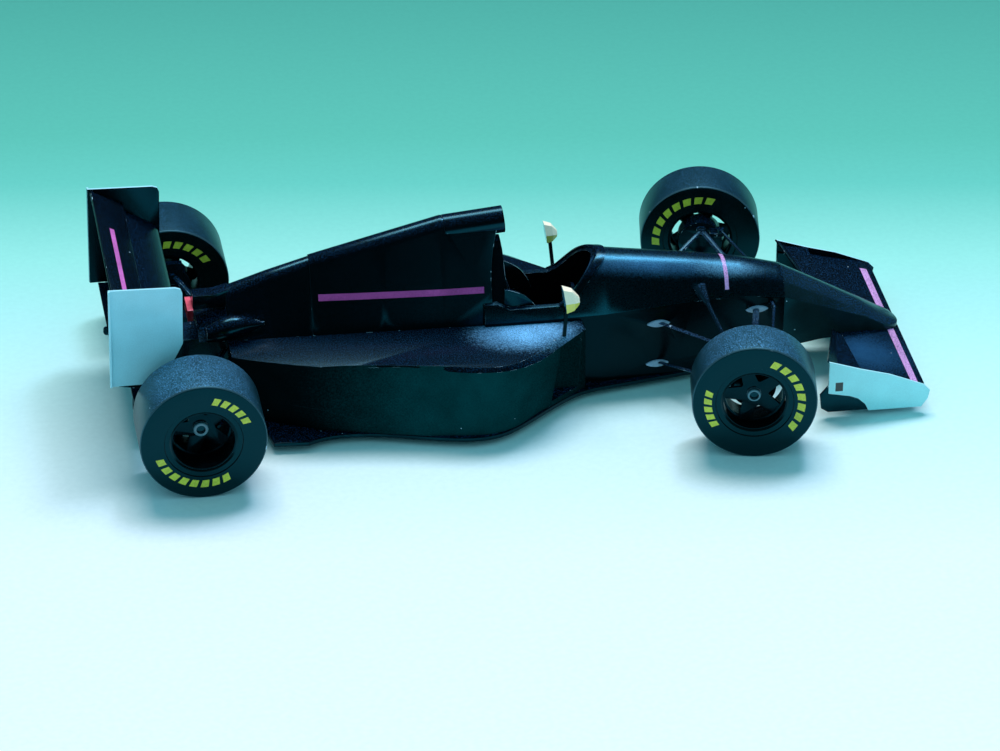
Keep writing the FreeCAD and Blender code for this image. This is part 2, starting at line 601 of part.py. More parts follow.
# Front wing
def front_wing_plane():
    def aerofoil(y, lift):
        tail_x, tail_z = front(24.4), 8.0 + lift
        return rib([(front(39.4), 6.8), (front(37.0), 7.5), (front(31.0), 7.9 + 0.35 * lift),
                    (tail_x, tail_z), (tail_x, tail_z - 0.5), (front(31.0), 6.9 + 0.3 * lift),
                    (front(37.0), 6.5)], y)
    span = FRONT_PLATE_Y
    return Part.makeLoft([aerofoil(-span, 2.6), aerofoil(-6.2, 0.0), aerofoil(6.2, 0.0),
                          aerofoil(span, 2.6)], True, True)


def front_flap():
    root = [(25.2, 8.7), (23.9, 9.2), (23.2, 10.0), (23.0, 9.7), (23.7, 8.8), (25.0, 8.4)]
    tip = [(24.7, 11.9), (19.4, 12.8), (17.2, 14.6), (17.0, 14.3), (19.2, 12.3), (24.5, 11.4)]
    return Part.makeLoft([rib([(front(x), z) for x, z in root], 6.2),
                          rib([(front(x), z) for x, z in tip], FRONT_PLATE_Y)], True, True)


def front_end_plate():
    outline = [(17.5, 14.3), (24.5, 12.0), (31.3, 10.1), (39.2, 6.9), (FRONT_OVERHANG, 5.4), (40.2, 3.4),
               (38.8, 1.3), (26.8, 1.3), (26.0, 3.0), (24.4, 4.5), (22.5, 5.3), (17.6, 6.3)]
    return side_panel([(front(x), z) for x, z in outline], FRONT_PLATE_Y, FRONT_PLATE_Y + CARD)


def front_fence():
    # Dark inner skirt that closes the plate's arch and reaches back towards the tyre.
    outline = [(17.8, 11.2), (17.6, 8.0), (15.8, 5.8), (16.2, 2.4), (17.8, 1.3), (27.6, 1.3), (28.4, 9.0)]
    return side_panel([(front(x), z) for x, z in outline], FRONT_PLATE_Y - CARD, FRONT_PLATE_Y)


# Mirrors. The left one stands further forward and is the smaller, as set by hand.
MIRROR_Y = 15.4
MIRROR_Z = 27.2
LEFT_MIRROR = (tub(83.4), 0.82)      # station of its face, and its size against the right one's
RIGHT_MIRROR = (tub(82.4), 1.0)


def mirror_shell(face_x, size):
    # Six flat panels folded to a blunt point ahead of the face.
    def six_sided(forward, centre_z, half_y, half_z, lean):
        ring_points = []
        for number in range(6):
            angle = math.pi * number / 3
            z = size * half_z * math.sin(angle)
            y = MIRROR_Y + size * half_y * math.cos(angle)
            ring_points.append(V(face_x + size * forward + lean * z, y, centre_z + z))
        return Part.makePolygon(ring_points + ring_points[:1])
    return Part.makeLoft([six_sided(0.0, MIRROR_Z + 0.3, 2.4, 3.4, -0.15),
                          six_sided(1.9, MIRROR_Z + 0.2, 2.0, 2.7, -0.1),
                          six_sided(3.3, MIRROR_Z - 0.1, 1.1, 1.0, 0.0)], True, True)


# A square post from the sidepod's deck up into the shell.
def mirror_post(foot_x, foot_y, head_x):
    def section(x, y, z):
        half = 0.4
        corners = [V(x - half, y - half, z), V(x + half, y - half, z),
                   V(x + half, y + half, z), V(x - half, y + half, z)]
        return Part.makePolygon(corners + corners[:1])
    return Part.makeLoft([section(foot_x, foot_y, POD_TOP_Z), section(head_x, MIRROR_Y, MIRROR_Z - 1.5)],
                         True, True)


# Cockpit
def headrest():
    back_x = tub(COCKPIT_REAR)
    core = Part.makeLoft([cover_wire(back_x - 4.0, 7.4, 1.6, 36.2, 1.4, RIM_Z),
                          cover_wire(back_x + 2.4, 7.4, 1.6, 36.2, 1.4, RIM_Z)], True, True)
    ahead = side_panel([(back_x - 0.8, 37.0), (back_x - 0.2, 33.7), (back_x + 0.1, 28.4),
                        (back_x + 0.5, 25.8), (back_x + 2.0, RIM_Z - 0.1), (back_x + 3.0, RIM_Z - 0.1),
                        (back_x + 3.0, 37.0)], -9, 9)
    # Two cheeks, round on top, reach forward and down inside the tub.
    cheek_y = 6.7
    low_z = RIM_Z - 3.4
    foot = V(back_x - 0.4, cheek_y, low_z)
    rise = V(back_x - 0.4, cheek_y, 26.3)
    crown = V(back_x + 4.6, cheek_y, 24.0)
    tip = V(back_x + 7.9, cheek_y, low_z)
    cheek = Part.Face(Part.Wire([Part.makeLine(tip, foot), Part.makeLine(foot, rise),
                                 Part.Arc(rise, crown, tip).toShape()])).extrude(V(0, 0.6, 0))
    return fused(core.cut(ahead), cheek, mirrored(cheek))


def seat():
    x = tub(COCKPIT_REAR)
    base_z = FLOOR_TOP_Z + 1.2
    return side_panel([(x + 0.8, RIM_Z - 0.2), (x + 0.8, base_z), (x + 14.5, base_z),
                       (x + 14.0, base_z + 2.6), (x + 8.0, base_z + 1.6), (x + 4.4, base_z + 3.2),
                       (x + 2.2, RIM_Z - 0.2)], -5.6, 5.6)


def steering_wheel():
    centre = V(tub(86.0), 0, 19.6)
    tilt = V(-0.94, 0, 0.34)
    thick = 0.7
    back = centre - tilt * (thick / 2)
    grip = Part.makeCylinder(3.1, thick, back, tilt).cut(Part.makeCylinder(2.4, thick, back, tilt))
    hub = Part.makeCylinder(0.9, thick, back, tilt)
    spoke = rod(centre + V(0, -2.7, 0), centre + V(0, 2.7, 0), 0.3)
    column = rod(centre, centre - tilt * (tub(PEDALS) + 1.0 - centre.x), 0.45)
    return fused(grip, hub, spoke, column)


parts = {}
parts["front_tyre_left"], parts["front_tyre_right"] = pair_steered(front_tyre)
parts["front_rim_left"] = steered(front_rims[0], 1)
parts["front_rim_right"] = steered(mirrored(front_rims[1]), -1)
parts["front_upright_left"], parts["front_upright_right"] = pair_steered(front_upright())
parts["rear_tyre_left"], parts["rear_tyre_right"] = rear_tyre, mirrored(rear_tyre)
parts["rear_rim_left"], parts["rear_rim_right"] = rear_rims[0], mirrored(rear_rims[1])
parts["rear_uprights"] = both(rear_upright())

# Steering rack: one bar through the tub whose swept ends reach the steering arms. At rest it
# stands to the right by as much as the arms do.
arm_shift = STEER_ARM * math.sin(math.radians(STEER_AT_REST))
rack_x = front(RACK_FORWARD)
swept_end = V(front(STEER_ARM), KINGPIN_Y - 0.6, RACK_Z)
half_rack = fused(
    rod(V(rack_x, -0.01, RACK_Z), V(rack_x, 8.2, RACK_Z), RACK_R),
    Part.makeSphere(RACK_R, V(rack_x, 8.2, RACK_Z)),
    rod(V(rack_x, 8.2, RACK_Z), swept_end, RACK_R - 0.1),
    Part.makeCylinder(0.85, 0.9, swept_end - V(0, 0, 0.45)))
rack = fused(half_rack, mirrored(half_rack))
rack.translate(V(0, arm_shift, 0))
parts["steering_rack"] = rack

upper_left = front_wishbone(UPPER_JOINT_Z, UPPER_REAR, UPPER_FRONT)
lower_left = front_wishbone(LOWER_JOINT_Z, LOWER_REAR, LOWER_FRONT)
parts["monocoque"] = monocoque()
tub_body = [tub_loft(TUB_SECTIONS), parts["monocoque"]]
parts["front_wishbones_left"] = Part.makeCompound([upper_left.cut(tub_body), lower_left.cut(tub_body)])
parts["front_wishbones_right"] = mirrored(parts["front_wishbones_left"])

pushrod_top = V(front(-7.6), 6.4, 23.2)
pushrod_end = V(front(-0.5), KINGPIN_Y - 3.0, LOWER_JOINT_Z)
pushrod = rod(pushrod_top, pushrod_end, 0.5)
boot = Part.makeCone(1.5, 0.7, 4.2, pushrod_top, pushrod_end - pushrod_top)
front_pushrod = fused(pushrod, boot).cut(tub_body + [lower_left])
parts["front_pushrods"] = both(front_pushrod)

wing_plane = front_wing_plane()
parts["nose_cone"] = nose_cone(wing_plane)
parts["windscreen"] = windscreen()
parts["floor"] = floor_plate()
parts["diffuser"] = diffuser()
pod = sidepod()
parts["sidepod_left"] = pod
parts["sidepod_right"] = mirrored(pod)
tube = airbox()
solid_tube = Part.makeCylinder(INTAKE_R, (INTAKE_FRONT - INTAKE_REAR).Length, INTAKE_REAR,
                               INTAKE_FRONT - INTAKE_REAR)
parts["airbox"] = tube
parts["engine_cover"] = engine_cover(solid_tube)
parts["rear_cover"] = rear_cover()
parts["gearbox"] = gearbox()
parts["tail_light"] = tail_light()

main, flap, beam = rear_wing()
parts["rear_wing_main"] = main
parts["rear_wing_flap"] = flap
parts["rear_wing_beam"] = beam
parts["rear_end_plates"] = both(rear_end_plate())


# Rear suspension, from the gearbox's sides to the uprights.
def rear_wishbone(inner_z, outer_z, rear_station, front_station):
    apex = REAR_UPRIGHT_Y + 0.2
    legs = [leg((rear(rear_station), 3.0, inner_z), (rear(-0.8), apex, outer_z)),
            leg((rear(front_station), 3.0, inner_z), (rear(0.8), apex, outer_z))]
    seat_block = block(rear(-1.2), rear(1.2), REAR_UPRIGHT_Y - 1.6, REAR_UPRIGHT_Y,
                       outer_z - 0.5, outer_z + 0.5)
    return fused(legs[0], legs[1], seat_block)


gear_case = parts["gearbox"]
upright_left = rear_upright()
rear_upper = rear_wishbone(14.6, 17.2, -5.0, 9.5).cut([gear_case, upright_left])
rear_lower = rear_wishbone(8.8, 9.8, -5.0, 9.5).cut([gear_case, upright_left])
parts["rear_wishbones_left"] = Part.makeCompound([rear_upper, rear_lower])
parts["rear_wishbones_right"] = mirrored(parts["rear_wishbones_left"])
shaft = rod(V(rear(0), 3.0, 12.2), V(rear(0), REAR_UPRIGHT_Y + 0.5, REAR_TYRE_R), 0.8)
parts["driveshafts"] = both(shaft.cut([gear_case, upright_left]))

parts["front_wing_plane"] = wing_plane
flap_left = front_flap().cut([parts["nose_cone"], wing_plane])
parts["front_flaps"] = both(flap_left)
fence = front_fence().cut(wing_plane).cut(flap_left)
parts["front_fences"] = both(fence)
parts["front_end_plates"] = both(front_end_plate())

left_shell = mirror_shell(*LEFT_MIRROR)
right_shell = mirror_shell(*RIGHT_MIRROR)
left_post = mirror_post(tub(85.0), 12.6, tub(84.5)).cut(left_shell)
right_post = mirror_post(tub(82.5), MIRROR_Y + 0.2, tub(83.0)).cut(right_shell)
parts["mirrors"] = Part.makeCompound([left_shell, mirrored(right_shell)])
parts["mirror_posts"] = Part.makeCompound([left_post, mirrored(right_post)])
cover_front = parts["engine_cover"]
parts["headrest"] = headrest().cut([parts["monocoque"], cover_front])
parts["seat"] = seat().cut(parts["monocoque"])
parts["steering_wheel"] = steering_wheel().cut([parts["monocoque"], parts["seat"]])

os.makedirs("parts", exist_ok=True)
for name, shape in parts.items():
    shape.exportStep("parts/" + name + ".step")
print(len(parts), "nodes,", sum(len(shape.Solids) for shape in parts.values()), "solids")
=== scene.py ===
import json
import math

import bmesh
import bpy
from mathutils import Matrix, Vector


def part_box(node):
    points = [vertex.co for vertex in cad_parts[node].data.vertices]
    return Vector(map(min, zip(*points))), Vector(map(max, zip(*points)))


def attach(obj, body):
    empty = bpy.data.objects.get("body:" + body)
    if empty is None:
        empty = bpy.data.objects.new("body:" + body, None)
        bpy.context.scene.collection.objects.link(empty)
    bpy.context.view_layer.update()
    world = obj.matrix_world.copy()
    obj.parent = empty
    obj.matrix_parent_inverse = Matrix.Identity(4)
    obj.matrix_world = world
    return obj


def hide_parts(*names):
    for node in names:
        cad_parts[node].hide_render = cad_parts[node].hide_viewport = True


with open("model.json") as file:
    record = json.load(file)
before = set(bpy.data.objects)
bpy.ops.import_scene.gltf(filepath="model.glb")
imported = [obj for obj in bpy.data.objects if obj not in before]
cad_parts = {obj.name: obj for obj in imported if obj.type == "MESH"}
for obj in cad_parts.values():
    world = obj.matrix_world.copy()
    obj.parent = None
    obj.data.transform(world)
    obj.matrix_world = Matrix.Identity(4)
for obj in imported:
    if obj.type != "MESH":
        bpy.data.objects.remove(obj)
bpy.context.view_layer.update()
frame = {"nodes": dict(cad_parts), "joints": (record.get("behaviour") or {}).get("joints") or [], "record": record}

# The table: one large sheet of card, near white before the car. Painted falloff of the light darkens it
# to sea green behind the car, and painted shade darkens it along its near edge, standing in for the dark
# room that the car's sides reflect. Two windows shine from above and behind, a faint ceiling fills the
# near side, and the camera stands where the photograph was taken from.
mm = 0.001
camera_place = Vector((-175.2, -1009.1, 600.1)) * mm
camera_azimuth = math.radians(-9.784)
camera_elevation = math.radians(30.36)
camera_roll = math.radians(0.846)

ahead = Vector((-math.sin(camera_azimuth) * math.cos(camera_elevation),
                math.cos(camera_azimuth) * math.cos(camera_elevation),
                -math.sin(camera_elevation)))
level = Vector((math.cos(camera_azimuth), math.sin(camera_azimuth), 0))
upright = level.cross(ahead)
right = level * math.cos(camera_roll) + upright * math.sin(camera_roll)
up = upright * math.cos(camera_roll) - level * math.sin(camera_roll)

camera = bpy.data.objects.new("camera", bpy.data.cameras.new("camera"))
camera.data.lens = 191.37
camera.data.sensor_width = 36
camera.data.clip_start = 0.01
camera.data.clip_end = 20
camera.matrix_world = Matrix.Translation(camera_place) @ Matrix((
    (right.x, up.x, -ahead.x), (right.y, up.y, -ahead.y), (right.z, up.z, -ahead.z))).to_4x4()
bpy.context.scene.collection.objects.link(camera)
bpy.context.scene.camera = camera
bpy.context.scene.view_settings.view_transform = "Standard"


def labelled(tree, kind, label, **settings):
    node = tree.nodes.new(kind)
    node.name = label
    node.label = label
    for name, value in settings.items():
        setattr(node, name, value)
    return node


# A socket takes another node's output, a colour of three parts, or a plain value.
def feed(tree, value, socket):
    if isinstance(value, bpy.types.NodeSocket):
        tree.links.new(value, socket)
    elif isinstance(value, tuple):
        socket.default_value = (*value, 1)
    else:
        socket.default_value = value


def place_on_piece(tree):
    return labelled(tree, "ShaderNodeTexCoord", "place on the piece").outputs["Object"]


def by_axis(tree, vector, label):
    parts = labelled(tree, "ShaderNodeSeparateXYZ", label)
    feed(tree, vector, parts.inputs["Vector"])
    return parts.outputs


def graded(tree, value, label, limits, **settings):
    grade = labelled(tree, "ShaderNodeMapRange", label, **settings)
    for socket, limit in limits.items():
        grade.inputs[socket].default_value = limit
    feed(tree, value, grade.inputs["Value"])
    return grade.outputs["Result"]


def value_noise(tree, place, label, scale, detail):
    noise = labelled(tree, "ShaderNodeTexNoise", label)
    noise.inputs["Scale"].default_value = scale
    noise.inputs["Detail"].default_value = detail
    feed(tree, place, noise.inputs["Vector"])
    return noise.outputs["Fac"]


def colour_ramp(tree, factor, label, stops):
    ramp = labelled(tree, "ShaderNodeValToRGB", label)
    points = ramp.color_ramp.elements
    while len(points) < len(stops):
        points.new(0.5)
    for point, (place, colour) in zip(points, stops):
        point.position = place
        point.color = (*colour, 1)
    feed(tree, factor, ramp.inputs["Fac"])
    return ramp.outputs["Color"]


def mixed(tree, mask, below, above, label, blend_type="MIX"):
    mix = labelled(tree, "ShaderNodeMix", label, data_type="RGBA", blend_type=blend_type)
    feed(tree, mask, mix.inputs["Factor"])
    feed(tree, below, mix.inputs["A"])
    feed(tree, above, mix.inputs["B"])
    return mix.outputs["Result"]


def new_material(name, **shader_values):
    material = bpy.data.materials.new(name)
    material.use_nodes = True
    shader = material.node_tree.nodes["Principled BSDF"]
    for socket, value in shader_values.items():
        shader.inputs[socket.replace("_", " ")].default_value = value
    return material, material.node_tree, shader


bpy.ops.object.select_all(action="DESELECT")
bpy.ops.mesh.primitive_plane_add(size=6, location=(0, 0, 0))
table = bpy.context.object
table.name = "table_sheet"
fade_turn = math.radians(1.9)
fade_range = {"From Min": -600 * mm, "From Max": 190 * mm}
sheet, tree, shader = new_material("sheet_with_painted_falloff", Roughness=0.8)
place = place_on_piece(tree)
turned = labelled(tree, "ShaderNodeMapping", "away from the camera", vector_type="TEXTURE")
turned.inputs["Rotation"].default_value = (0, 0, camera_azimuth + fade_turn)
feed(tree, place, turned.inputs["Vector"])
depth = by_axis(tree, turned.outputs["Vector"], "depth")["Y"]
# Painted falloff: the sheet darkens to sea green behind the car as the light falls off, and the dark first stop is
# painted shade along the near edge.
sheet_colour_painted_falloff = colour_ramp(tree, graded(tree, depth, "fade", fade_range), "sheet colours with painted falloff", [
    (0.22, (0.02, 0.06, 0.06)), (0.46, (0.92, 1.0, 1.0)), (0.666, (0.78, 0.99, 0.99)),
    (0.768, (0.49, 0.95, 0.90)), (0.828, (0.28, 0.80, 0.67)), (0.874, (0.104, 0.575, 0.45)),
    (0.905, (0.074, 0.50, 0.37)), (1.0, (0.040, 0.37, 0.275))])
fibre = value_noise(tree, place, "paper fibre", scale=700, detail=4)
fibre_shade = colour_ramp(tree, fibre, "fibre shade", [(0.3, (0.94, 0.96, 0.96)), (0.7, (1, 1, 1))])
fibred_sheet = mixed(tree, 1, sheet_colour_painted_falloff, fibre_shade, "fibred sheet", blend_type="MULTIPLY")
feed(tree, fibred_sheet, shader.inputs["Base Color"])
table.data.materials.append(sheet)

fill_strength = 0.45
fill_in_shine = 0.012
room = bpy.data.worlds.new("room")
room.use_nodes = True
ambience = room.node_tree.nodes["Background"]
ambience.inputs["Color"].default_value = (0.42, 0.96, 1.22, 1)
ray = labelled(room.node_tree, "ShaderNodeLightPath", "kind of ray")
strength = graded(room.node_tree, ray.outputs["Is Glossy Ray"], "soft fill, nearly gone from shine",
                  {"To Min": fill_strength, "To Max": fill_in_shine})
feed(room.node_tree, strength, ambience.inputs["Strength"])
bpy.context.scene.world = room


# Each lamp is a flat panel, in metres and watts, that faces the car.
def area_light(name, place, width, height, watts, colour):
    lamp = bpy.data.lights.new(name, "AREA")
    lamp.shape = "RECTANGLE"
    lamp.size = width
    lamp.size_y = height
    lamp.energy = watts
    lamp.color = colour
    holder = bpy.data.objects.new(name, lamp)
    holder.matrix_world = Matrix.Translation(place) @ place.to_track_quat("Z", "Y").to_matrix().to_4x4()
    bpy.context.scene.collection.objects.link(holder)
    return holder


area_light("window", Vector((0.02, 0.54, 1.28)), width=0.8, height=0.5, watts=15.0, colour=(1.0, 0.74, 0.76))
area_light("sky_window", Vector((0.42, 0.50, 1.22)), width=0.20, height=0.34, watts=5.6,
           colour=(0.72, 0.72, 1.0))
ceiling = area_light("ceiling", Vector((0.3, -1.1, 1.5)), width=1.6, height=1.2, watts=1.2,
                     colour=(0.7, 1.0, 1.0))
ceiling.visible_glossy = False


# The tub: one sheet of laser-printed card, folded and glued into a flat-bottomed box with a rolled
# top and an open cockpit. Handling has rubbed its folds, a painted highlight lies along its rolled top,
# a pale stripe is printed ahead of the cowl, and the wishbones' pale lugs are glued to its sides.
def maths(tree, operation, label, *values):
    node = labelled(tree, "ShaderNodeMath", label, operation=operation)
    for socket, value in zip(node.inputs, values):
        feed(tree, value, socket)
    return node.outputs["Value"]


def vector_maths(tree, operation, label, *vectors):
    node = labelled(tree, "ShaderNodeVectorMath", label, operation=operation)
    for socket, vector in zip(node.inputs, vectors):
        feed(tree, vector, socket)
    return node.outputs


# A new effect is a node group, given back with the sockets that it is given and makes.
def new_effect(name, inputs, outputs):
    tree = bpy.data.node_groups.new(name, "ShaderNodeTree")
    for in_out, sockets in (("INPUT", inputs), ("OUTPUT", outputs)):
        for socket, kind in sockets.items():
            tree.interface.new_socket(socket, in_out=in_out, socket_type="NodeSocket" + kind)
    given = labelled(tree, "NodeGroupInput", "given").outputs
    made = labelled(tree, "NodeGroupOutput", "made").inputs
    return tree, given, made


def placed_effect(tree, group, label, **values):
    placed = labelled(tree, "ShaderNodeGroup", label, node_tree=group)
    for socket, value in values.items():
        feed(tree, value, placed.inputs[socket])
    return placed.outputs


# Toner breaks into fine grain. White specks and rubbed paper show through it, and on faces that look up,
# fibre ends are painted in the glint colour, a painted highlight of the light from above.
speck_radius = 0.13
cloud_weight = 0.9
grain_weight = 0.7
plain_roughness = 0.15
grain_roughness = 0.14
toner, given, made = new_effect(
    "toner_on_card",
    {"Ink": "Color", "Paper": "Color", "Specks": "Float", "Wear": "Float", "Shine": "Float",
     "Mottle": "Float", "Dust": "Float", "Glint": "Color"},
    {"Color": "Color", "Roughness": "Float", "Height": "Float"})
place = place_on_piece(toner)
grain = value_noise(toner, place, "toner grain", scale=3600, detail=2)
cloud = value_noise(toner, place, "uneven toner", scale=170, detail=3)

cells = labelled(toner, "ShaderNodeTexVoronoi", "speck cells")
cells.inputs["Scale"].default_value = 900
feed(toner, place, cells.inputs["Vector"])
cell_draw = labelled(toner, "ShaderNodeSeparateColor", "speck draw")
feed(toner, cells.outputs["Color"], cell_draw.inputs["Color"])
speck_size = maths(toner, "LESS_THAN", "speck size", cells.outputs["Distance"], speck_radius)
speck_here = maths(toner, "LESS_THAN", "speck here", cell_draw.outputs["Red"], given["Specks"])
speck = maths(toner, "MULTIPLY", "speck", speck_size, speck_here)
rubbing = value_noise(toner, place, "rubbing", scale=520, detail=4)
rub_limit = maths(toner, "SUBTRACT", "rub limit", 1.0, given["Wear"])
rubbed = maths(toner, "GREATER_THAN", "rubbed", rubbing, rub_limit)
bare = maths(toner, "MAXIMUM", "bare paper", speck, rubbed)

grained = maths(toner, "MULTIPLY_ADD", "grained", grain, grain_weight, -(cloud_weight + grain_weight) / 2)
clouded = maths(toner, "MULTIPLY_ADD", "clouded", cloud, cloud_weight, grained)
uneven = maths(toner, "MULTIPLY_ADD", "uneven", clouded, given["Mottle"], 1.0)
shade = labelled(toner, "ShaderNodeVectorMath", "shaded ink", operation="SCALE")
feed(toner, given["Ink"], shade.inputs[0])
feed(toner, uneven, shade.inputs["Scale"])

surface = labelled(toner, "ShaderNodeNewGeometry", "surface")
facing = by_axis(toner, surface.outputs["Normal"], "which way it faces")
upward = graded(toner, facing["Z"], "facing up", {"From Min": 0.35}, interpolation_type="SMOOTHSTEP")
fibre_grain = value_noise(toner, place, "fibre grain", scale=4600, detail=1)
fibre_ends = graded(toner, fibre_grain, "fibre ends", {"From Min": 0.47, "From Max": 0.74},
                    interpolation_type="SMOOTHSTEP")
# Painted highlight: the glint colour goes only on faces that look up, where the light from above falls.
lit_ends = maths(toner, "MULTIPLY", "lit fibre ends", upward, fibre_ends)
painted_glint_ends = maths(toner, "MULTIPLY", "glint", lit_ends, given["Dust"])
glinting = mixed(toner, painted_glint_ends, shade.outputs["Vector"], given["Glint"], "ink with glints")
feed(toner, mixed(toner, bare, glinting, given["Paper"], "card colour"), made["Color"])

less_shine = maths(toner, "SUBTRACT", "less shine", plain_roughness, given["Shine"])
rough = maths(toner, "MULTIPLY_ADD", "roughness", grain, grain_roughness, less_shine)
feed(toner, rough, made["Roughness"])
feed(toner, grain, made["Height"])

# A band is printed between two places along one axis, inside the band that it is given.
band, given, made = new_effect(
    "printed_band",
    {"Within": "Float", "Along": "Float", "Start": "Float", "End": "Float"},
    {"Mask": "Float"})
after = maths(band, "GREATER_THAN", "after the start", given["Along"], given["Start"])
before = maths(band, "LESS_THAN", "before the end", given["Along"], given["End"])
between = maths(band, "MULTIPLY", "between", after, before)
feed(band, maths(band, "MULTIPLY", "inside", given["Within"], between), made["Mask"])

# A spot of painted light, a highlight or a reflection, fades out, speckled, a little beyond its reach along each
# axis.
spot_rim = 1.15
speckle_weight = 0.9
spot, given, made = new_effect("painted_light_spot", {"Centre": "Vector", "Reach": "Vector"}, {"Mask": "Float"})
place = place_on_piece(spot)
offset = vector_maths(spot, "SUBTRACT", "from its centre", place, given["Centre"])["Vector"]
share = vector_maths(spot, "DIVIDE", "share of its reach", offset, given["Reach"])["Vector"]
distance = vector_maths(spot, "LENGTH", "how far out", share)["Value"]
inward = maths(spot, "SUBTRACT", "inward", spot_rim, distance)
less_grain = maths(spot, "SUBTRACT", "less grain", inward, speckle_weight / 2)
painted_light_grain = value_noise(spot, place, "painted light grain", scale=3000, detail=3)
speckled = maths(spot, "MULTIPLY_ADD", "speckled", painted_light_grain, speckle_weight, less_grain)
feed(spot, graded(spot, speckled, "soft rim", {}, interpolation_type="SMOOTHSTEP"), made["Mask"])

blue_sheen = (0.04, 0.74, 1.0, 1)
blue_glint = (0.006, 0.045, 0.12)
fresh_paper = (0.42, 0.68, 0.80)
relief_depth = 0.05 * mm


# A printed material. Spots are spots of painted light, as (colour, centre, reach), and stripes are
# (colour, limits along each axis), all in mm.
def printed_card(name, ink, paper=fresh_paper, specks=0.012, wear=0.2, shine=0.0, mottle=1.0, painted_glint=0.0,
                 glint=blue_glint, stripes=(), spots=(), bump=0.12, **shader_values):
    material, tree, shader = new_material(name, **shader_values)
    for spot_colour, centre, reach in spots:
        painted_light_mask = placed_effect(tree, spot, "painted light spot", Centre=Vector(centre) * mm,
                                 Reach=Vector(reach) * mm)
        ink = mixed(tree, painted_light_mask["Mask"], ink, spot_colour, "print under painted light")
    for stripe_colour, limits in stripes:
        axes = by_axis(tree, place_on_piece(tree), "place by axis")
        mask = 1.0
        for axis, (start, end) in limits.items():
            mask = placed_effect(tree, band, "printed band", Within=mask, Along=axes[axis],
                                 Start=start * mm, End=end * mm)["Mask"]
        ink = mixed(tree, mask, ink, stripe_colour, "printed stripe")
    card = placed_effect(tree, toner, "toner on card", Ink=ink, Paper=paper, Specks=specks, Wear=wear,
                         Shine=shine, Mottle=mottle, Dust=painted_glint, Glint=glint)
    relief = labelled(tree, "ShaderNodeBump", "toner relief")
    relief.inputs["Strength"].default_value = bump
    relief.inputs["Distance"].default_value = relief_depth
    feed(tree, card["Height"], relief.inputs["Height"])
    feed(tree, relief.outputs["Normal"], shader.inputs["Normal"])
    feed(tree, card["Color"], shader.inputs["Base Color"])
    feed(tree, card["Roughness"], shader.inputs["Roughness"])
    return material


# A finished copy of a frame piece: triangles joined into panels, cuts and folds given a narrow
# facet that shows the card's core, flat panels kept flat and rolled ones smooth. The facets take the
# second coat, and the third within the limits given in worn, in mm along each axis.
def folded_card(node, coats, fold=0.09, sharp=26, worn=()):
    edge_coat = 1
    worn_coat = 2
    skin = bpy.data.objects.new(node + "_card", frame["nodes"][node].data.copy())
    bpy.context.scene.collection.objects.link(skin)
    skin.data.materials.clear()
    for coat in coats:
        skin.data.materials.append(coat)
    bpy.ops.object.select_all(action="DESELECT")
    bpy.context.view_layer.objects.active = skin
    skin.select_set(True)
    bpy.ops.object.mode_set(mode="EDIT")
    bpy.ops.mesh.select_all(action="SELECT")
    bpy.ops.mesh.remove_doubles(threshold=0.002 * mm)
    bpy.ops.mesh.dissolve_limited(angle_limit=math.radians(0.6))
    bpy.ops.object.mode_set(mode="OBJECT")
    folds = skin.modifiers.new("folds", "BEVEL")
    folds.width = fold * mm
    folds.segments = 2
    folds.limit_method = "ANGLE"
    folds.angle_limit = math.radians(sharp)
    folds.material = edge_coat
    bpy.ops.object.modifier_apply(modifier=folds.name)
    bpy.ops.object.shade_smooth_by_angle(angle=math.radians(sharp))
    for panel in skin.data.polygons:
        if panel.material_index == edge_coat:
            centre = dict(zip("XYZ", panel.center / mm))
            for limits in worn:
                if all(low < centre[axis] < high for axis, (low, high) in limits.items()):
                    panel.material_index = worn_coat
    bodies = frame["record"]["behaviour"]["bodies"]
    body = next(name for name, members in bodies.items() if node in members)
    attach(skin, body)
    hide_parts(node)
    return skin


# Stations are millimetres ahead of the rear axle, which the frame's rear tyre gives.
rear_tyre_low, rear_tyre_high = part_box("rear_tyre_right")
rear_axle = (rear_tyre_low.x + rear_tyre_high.x) / 2 / mm


def stations(start, end):
    return rear_axle + start, rear_axle + end


def joint_named(name):
    return next(joint for joint in frame["joints"] if joint["name"] == name)


toner_black = (0.0012, 0.0020, 0.0028)
pale_pink = (0.66, 0.38, 0.74)
cut_edge = printed_card("cut_edge", (0.004, 0.008, 0.010), specks=0.015, wear=0.37, shine=-0.1, bump=0.1,
                        Specular_Tint=blue_sheen)
bare_edge = printed_card("bare_edge", (0.02, 0.05, 0.06), specks=0.2, wear=0.47, shine=-0.1, bump=0.1,
                         Specular_Tint=blue_sheen)
stripe_top = {"X": stations(120.3, 121.2), "Z": (21.9, 40)}
tub_card = printed_card("tub_card", toner_black, painted_glint=1.0, stripes=[(pale_pink, stripe_top)],
                        Specular_Tint=blue_sheen, Specular_IOR_Level=0.16)
# Painted highlight along the near side of the rolled top, where the light from above and behind glances off it.
painted_top_highlight = [((0.028, 0.12, 0.24), (rear_axle + 106.0, -3.4, 28.9), (24, 2.8, 5.5)),
              ((0.10, 0.30, 0.45), (rear_axle + 122.0, -3.0, 26.7), (10, 2.6, 4.5))]
rolled_top = printed_card("rolled_top", toner_black, shine=-0.06, painted_glint=1.0, bump=0.35,
                          stripes=[(pale_pink, stripe_top)], spots=painted_top_highlight,
                          Specular_Tint=blue_sheen, Specular_IOR_Level=1.0)
lug_card = printed_card("lug_card", (0.26, 0.42, 0.56), paper=(0.6, 0.8, 0.9), wear=0.3)
tub_coats = [tub_card, cut_edge, bare_edge, rolled_top, lug_card]
cockpit_rim = {"X": stations(60, 84), "Z": (21, 24)}
climbing_rim = {"X": stations(84, 96), "Z": (21, 40)}
tub = folded_card("monocoque", tub_coats, worn=[cockpit_rim, climbing_rim])

